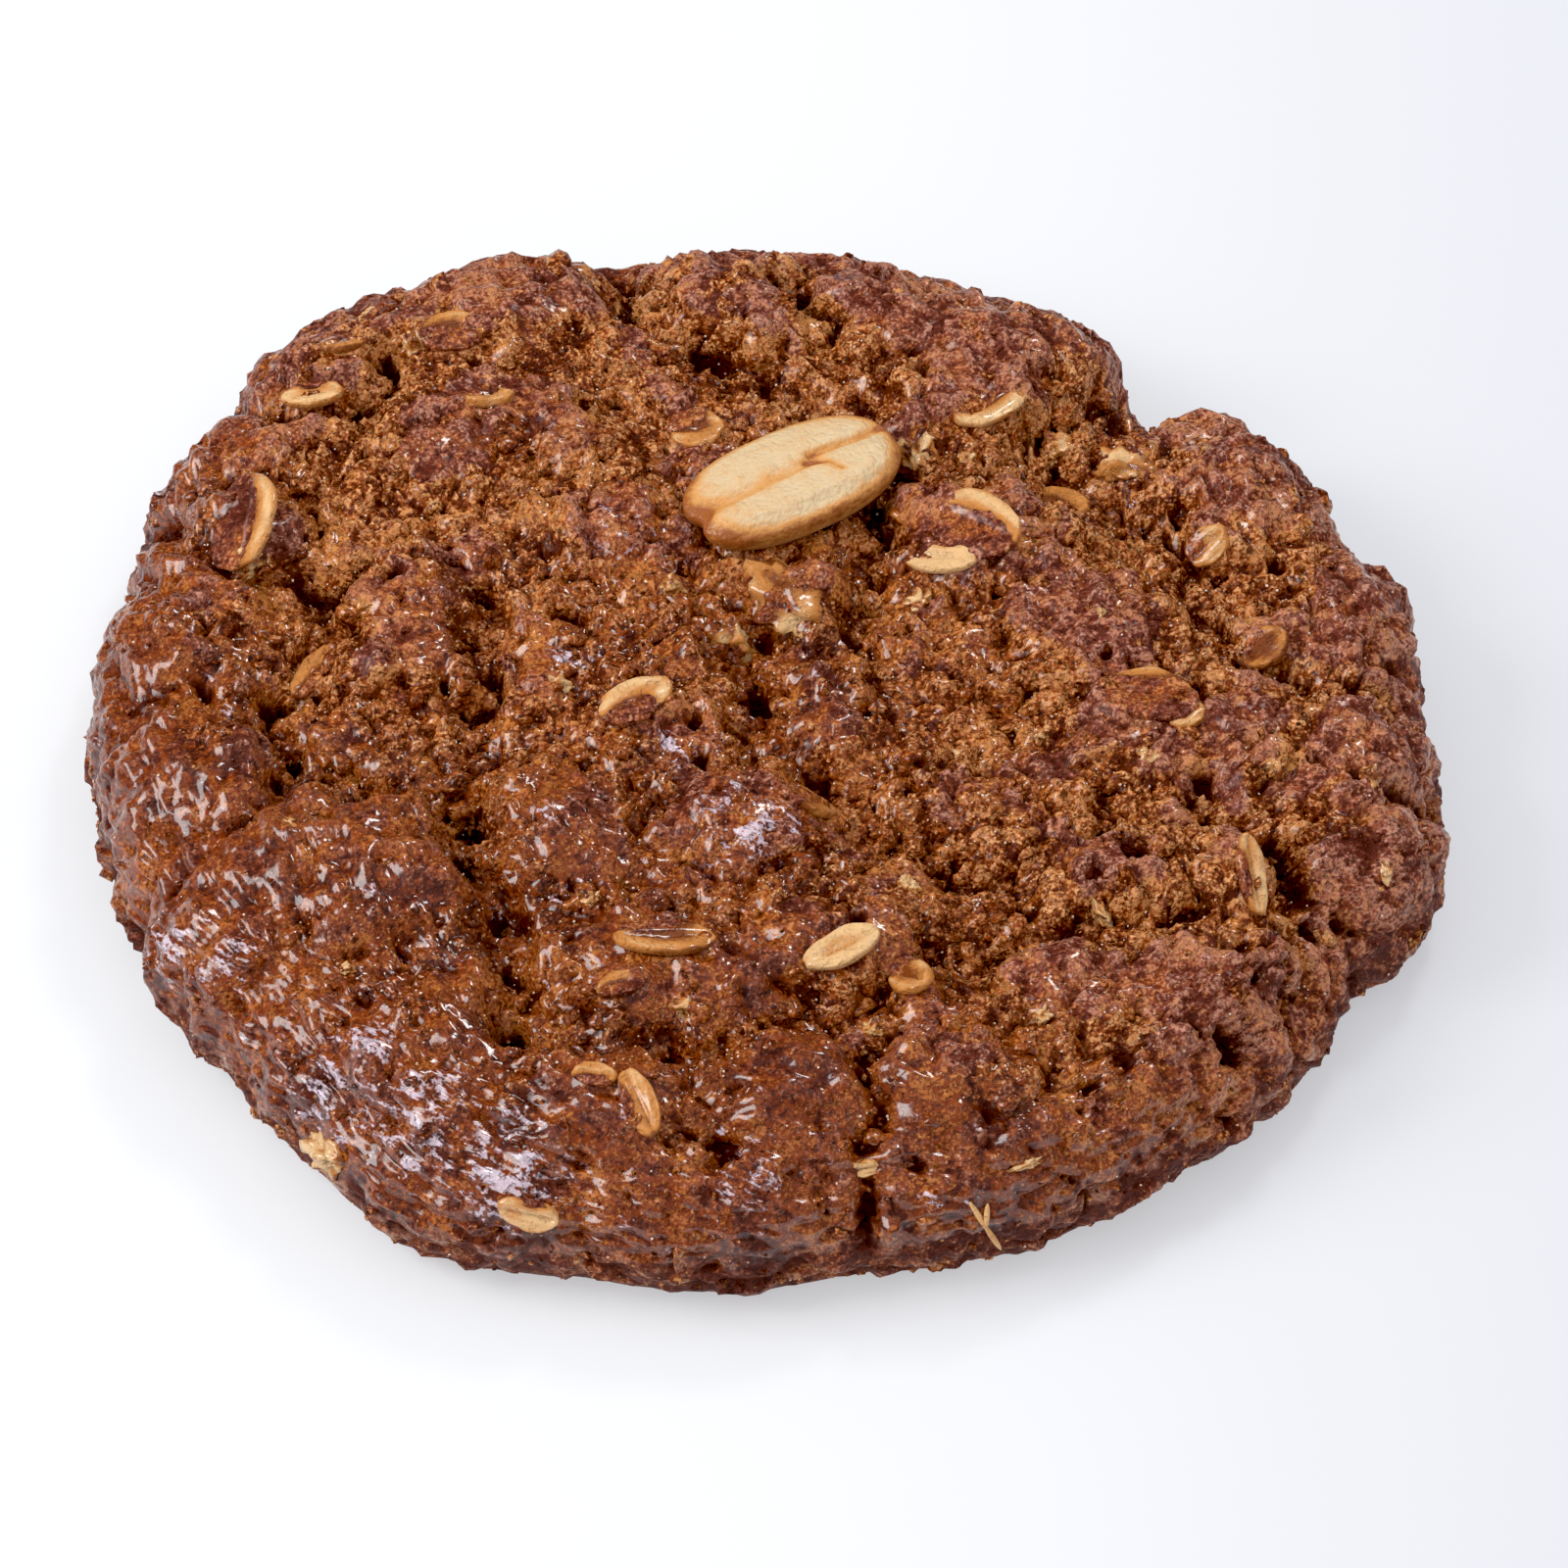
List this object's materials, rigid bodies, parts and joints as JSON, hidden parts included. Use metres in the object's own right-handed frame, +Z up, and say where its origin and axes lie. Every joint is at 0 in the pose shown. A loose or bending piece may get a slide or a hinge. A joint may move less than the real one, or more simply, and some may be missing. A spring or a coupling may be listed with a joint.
{
  "type": "peanut cookie",
  "caption": "Large round oat and peanut cookie, baked dark with a craggy glazed crust, with a half peanut pressed into its top. It rests on its flat base.",
  "frame": {"origin": "middle of the flat base that the cookie rests on", "axes": "+Z up through the thickness, +Y towards the back edge in the picture, +X to the right"},
  "size_m": [0.0996, 0.1003, 0.0164],
  "materials": {
    "crust": "dark baked oat dough with patches of sugar glaze",
    "peanut": "roasted blanched peanut, satin"
  },
  "bodies": {
    "root": {"cookie": "crust", "peanut_half": "peanut"}
  },
  "joints": []
}
